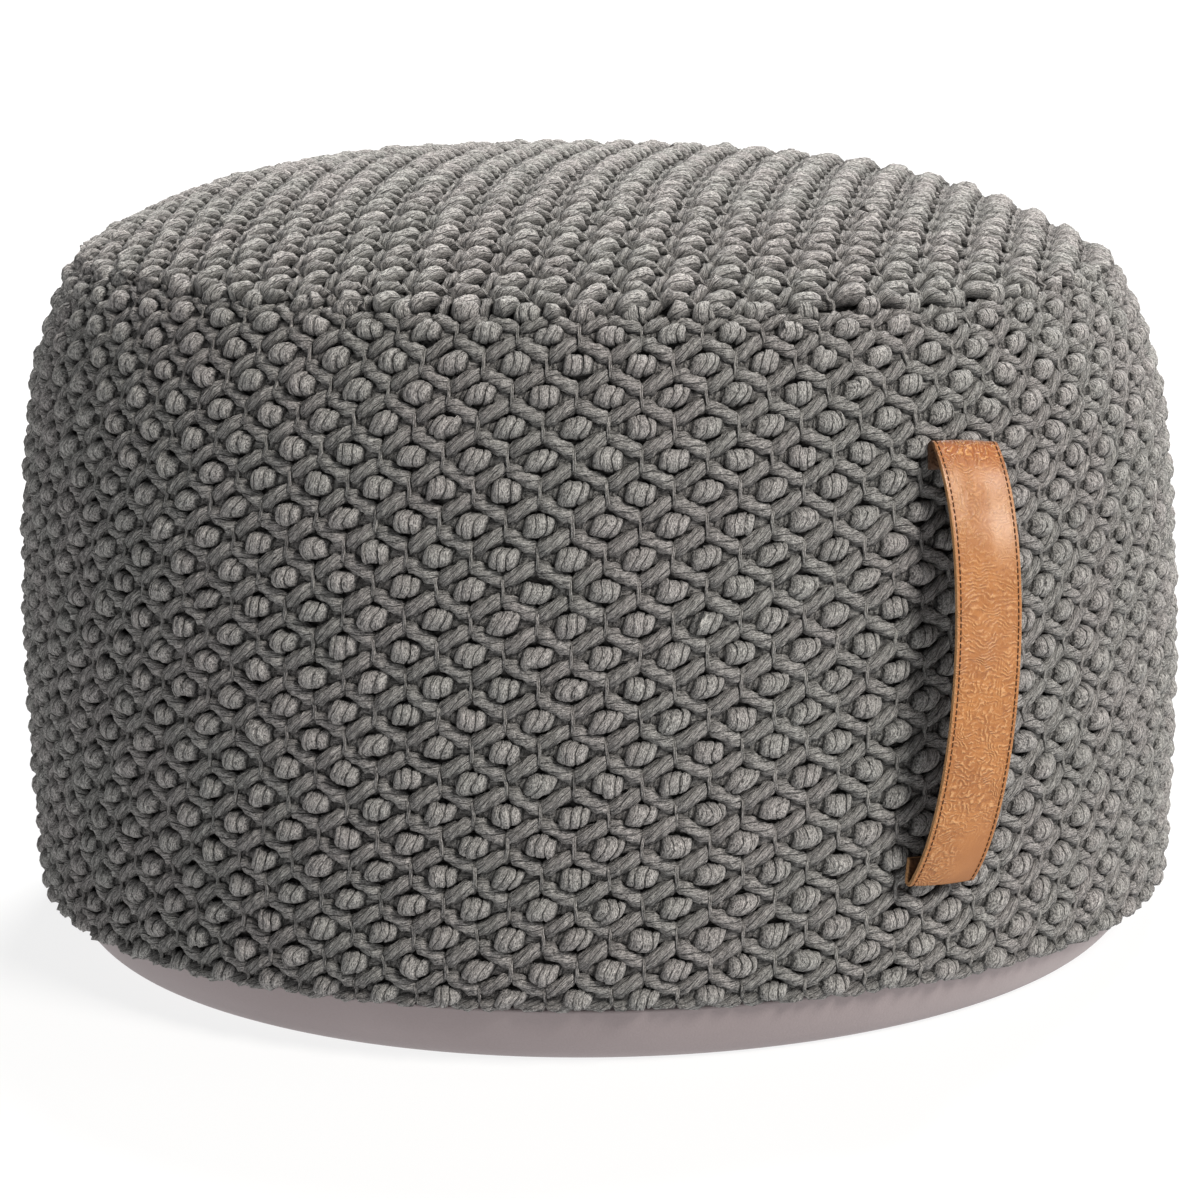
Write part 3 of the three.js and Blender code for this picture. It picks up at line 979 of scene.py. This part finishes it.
def leather_finish():
    leather = Finish("tan_strap_leather", Specular_IOR_Level=0.5, Coat_Roughness=0.22)
    across = leather.attribute("across")
    along = leather.attribute("along")
    cut = leather.attribute("cut_edge")
    lift = leather.attribute("lift")
    flat = leather.node("ShaderNodeCombineXYZ", None, {0: across, 1: along, 2: lift})
    drift = leather.noise(flat, 0.08, 1.0) - 0.5
    sway = leather.noise(flat, 0.34, 2.0) - 0.5
    tail = 1 - along.between(*TAIL_ENDS)
    folded = 1 - along.between(*FOLD_ENDS)
    smooth = 1 - along.between(*SMOOTH_ENDS)
    bowed = along.between(*BOW_BEGINS) * (1 - along.between(*BOW_ENDS))
    handled = 1 - along.between(*HANDLED_ENDS) * across.between(-9.0, 6.0)
    handled = along.between(*HANDLED_BEGINS) * handled
    level = leather.ripples(along + drift * 15 + sway * 3.8, 2.2)
    steep = leather.ripples(across * 0.8 - drift * 16 + sway * 4.2, 2.4)
    turning = leather.noise(leather.scaled(flat, (0.18, 0.3, 1.0)), 1.0, 2.0).between(0.4, 0.56)
    turning = turning.maths("MAXIMUM", turning, bowed * 0.7)
    firm = leather.noise(leather.scaled(flat, (0.3, 0.55, 1.0)), 1.0, 2.0).between(0.34, 0.62)
    wrinkled = handled.maths("MAXIMUM", handled, bowed * 0.9 + smooth * 0.5) + folded * 0.5
    wrinkled = wrinkled * (0.15 + firm * 0.85)
    relief = level * turning + steep * (1 - turning)
    crinkle = relief.between(0.5, 1.0) * wrinkled
    hollow_shade = (1 - relief).between(0.5, 1.0) * wrinkled
    pulls = leather.ridge(leather.scaled(flat, (0.13, 0.07, 1.0)), 0.018, 3.0) * smooth
    # Painted highlights: paler patches on the upper band, on its right half and along its left edge, where
    # its gloss catches the light
    painted_highlight_right = along.between(*PAINTED_HIGHLIGHT_RIGHT_BEGINS) * (1 - along.between(*PAINTED_HIGHLIGHT_RIGHT_ENDS))
    painted_highlight_right = painted_highlight_right * (across + sway * 9).between(1.0, 6.0)
    painted_highlight_left = along.between(*PAINTED_HIGHLIGHT_LEFT_BEGINS) * (1 - along.between(*PAINTED_HIGHLIGHT_LEFT_ENDS))
    painted_highlight_left = painted_highlight_left * (1 - (across + sway * 6).between(-12.0, -7.0))
    grain = leather.noise(flat, 2.4, 2.0)
    cloud = leather.noise(flat, 0.05, 2.0)
    body = leather.mix(cloud.between(0.3, 0.7), (0.31, 0.111, 0.022, 1), (0.39, 0.153, 0.036, 1))
    body = leather.mix((painted_highlight_right + painted_highlight_left) * 0.4, body, (0.58, 0.34, 0.19, 1))
    # Light lines on the wrinkles' backs and pulls, partly wear and partly a painted highlight; painted
    # shade in the wrinkles' hollows, and darker grain at random
    body = leather.mix(crinkle * 0.6 + pulls * 0.35, body, (0.66, 0.37, 0.165, 1))
    body = leather.mix(hollow_shade * 0.54 + grain.between(0.45, 0.7) * 0.26, body, (0.19, 0.06, 0.012, 1))
    body = leather.mix(folded * 0.85, body, (0.25, 0.063, 0.003, 1))
    # Light lines on the creases of the fold, partly wear and partly a painted highlight
    body = leather.mix(crinkle * folded * 0.7, body, (0.6, 0.3, 0.09, 1))
    # Painted shade on the tail, tucked under the fold
    body = leather.mix(tail * 0.85, body, (0.06, 0.022, 0.008, 1))
    rim = across.maths("ABSOLUTE", across).between(13.5, 17.5)
    body = leather.mix(rim * 0.35, body, (0.3, 0.105, 0.022, 1))
    # The inner face, towards the pouf, is darker leather and carries painted shade as well
    inner = 1 - lift.between(-0.7, -0.3)
    body = leather.mix(inner * 0.95, body, (0.1, 0.042, 0.015, 1))
    # The cut edge is darker at the fold, and along the tail it gets painted shade
    edge = leather.mix(folded * 0.8, (0.42, 0.22, 0.09, 1), (0.14, 0.055, 0.018, 1))
    edge = leather.mix(tail * 0.9, edge, (0.05, 0.02, 0.008, 1))
    leather.show(Base_Color=leather.mix(cut, body, edge))
    leather.show(Coat_Weight=(smooth * 0.8 + bowed * 0.2) * (1 - folded * 0.7) * (1 - cut))
    leather.show(Roughness=0.42 + grain * 0.08 + rim * 0.08 + cut * 0.2 + inner * 0.2)
    height = grain * 0.1 + relief * wrinkled * 0.5 + pulls * 0.3
    leather.show(Normal=leather.bump(height, 0.0009, 0.9))
    return leather.material


def stitch_finish():
    stitch = Finish("dark_sewing_thread", Roughness=0.8, Specular_IOR_Level=0.2)
    fibre = stitch.node("ShaderNodeUVMap", {"uv_map": "fibre"})
    ply = stitch.noise(stitch.scaled(fibre, (1.5, 3.0, 1.0)), 1.0, 1.0)
    stitch.show(Base_Color=stitch.mix(ply, (0.035, 0.013, 0.005, 1), (0.11, 0.045, 0.018, 1)))
    return stitch.material


def floor_finish():
    floor = Finish("pale_floor", Roughness=0.85, Specular_IOR_Level=0.1, Emission_Strength=1.0,
                   Emission_Color=(0.83, 0.83, 0.83, 1))
    cloud = floor.noise(floor.place(), 1.5, 2.0)
    floor.show(Base_Color=floor.mix(cloud, (0.15, 0.15, 0.15, 1), (0.17, 0.17, 0.17, 1)))
    return floor.material


# Pieces, each with its finish and the body it rides on; the solids they replace are hidden


def dress(piece, material):
    piece.data.materials.append(material)
    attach(piece, "root")
    return piece


YARN = yarn_finish()
GROUND = ground_finish()

for name, strands in (side_pieces() | top_pieces()).items():
    dress(joined(name, strands), YARN)

side_ground = dress(ground_form("side_ground", SIDE), GROUND)
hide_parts("side_band")
top_middle_up = TOP_SEAM_UP + CROWN_HEIGHT - WEAVE_DEPTH
top_ground = dress(ground_form("top_ground", TOP, top_middle_up), GROUND)
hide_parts("top_panel")
base = dress(base_form(), base_finish())
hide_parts("base_panel")
strap = dress(strap_band(), leather_finish())
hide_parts("strap_handle")
stitches = dress(strap_stitches(), stitch_finish())

# Floor, light and camera

FLOOR_HALF_SIZE = 80
FLOOR_SEGMENTS = 8
WORLD_STRENGTH = 0.18
CAMERA_AZIMUTH = -32.3
CAMERA_TILT = 78.22
CAMERA_ROLL = -0.0162
CAMERA_PLACE = (-0.8964, -1.4179, 0.508)
CAMERA_LENS = 97.14
SENSOR_WIDTH = 36
LIGHT_DISTANCE = 3
WARM_WHITE = (1.0, 0.97, 0.95)

bm = bmesh.new()
bmesh.ops.create_grid(bm, x_segments=FLOOR_SEGMENTS, y_segments=FLOOR_SEGMENTS, size=FLOOR_HALF_SIZE)
floor_mesh = bpy.data.meshes.new("floor")
bm.to_mesh(floor_mesh)
bm.free()
floor = bpy.data.objects.new("floor", floor_mesh)
floor_mesh.materials.append(floor_finish())
bpy.context.scene.collection.objects.link(floor)


def soft_light(name, azimuth, elevation, spread_angle, strength, colour):
    """A far, wide studio light aimed at the pouf, placed by its angle from the camera's side."""
    turn = math.radians(CAMERA_AZIMUTH + azimuth)
    rise = math.radians(elevation)
    back = Vector((math.sin(turn) * math.cos(rise), -math.cos(turn) * math.cos(rise), math.sin(rise)))
    lamp = bpy.data.lights.new(name, "SUN")
    lamp.angle = math.radians(spread_angle)
    lamp.energy = strength
    lamp.color = colour
    made = bpy.data.objects.new(name, lamp)
    aimed = back.to_track_quat("Z", "Y").to_matrix().to_4x4()
    made.matrix_world = Matrix.Translation(back * LIGHT_DISTANCE) @ aimed
    bpy.context.scene.collection.objects.link(made)


soft_light("key_light", azimuth=49, elevation=42, spread_angle=18, strength=3.75, colour=(1.0, 0.96, 0.9))
soft_light("strap_light_high", azimuth=91, elevation=27, spread_angle=10, strength=0.18, colour=WARM_WHITE)
soft_light("strap_light_low", azimuth=82, elevation=15, spread_angle=10, strength=0.2, colour=WARM_WHITE)
soft_light("top_light", azimuth=165, elevation=56, spread_angle=18, strength=4.1, colour=(1.0, 0.99, 0.97))

world = bpy.data.worlds.new("studio")
world.use_nodes = True
bpy.context.scene.world = world
background = world.node_tree.nodes["Background"]
background.inputs["Color"].default_value = (1, 1, 1, 1)
background.inputs["Strength"].default_value = WORLD_STRENGTH
bpy.context.scene.view_settings.view_transform = "Standard"

camera_data = bpy.data.cameras.new("camera")
camera_data.sensor_width = SENSOR_WIDTH
camera_data.lens = CAMERA_LENS
camera = bpy.data.objects.new("camera", camera_data)
heading = Matrix.Rotation(math.radians(CAMERA_AZIMUTH), 4, "Z")
aim = heading @ Matrix.Rotation(math.radians(CAMERA_TILT), 4, "X") @ Matrix.Rotation(CAMERA_ROLL, 4, "Z")
camera.matrix_world = Matrix.Translation(CAMERA_PLACE) @ aim
bpy.context.scene.collection.objects.link(camera)
bpy.context.scene.camera = camera
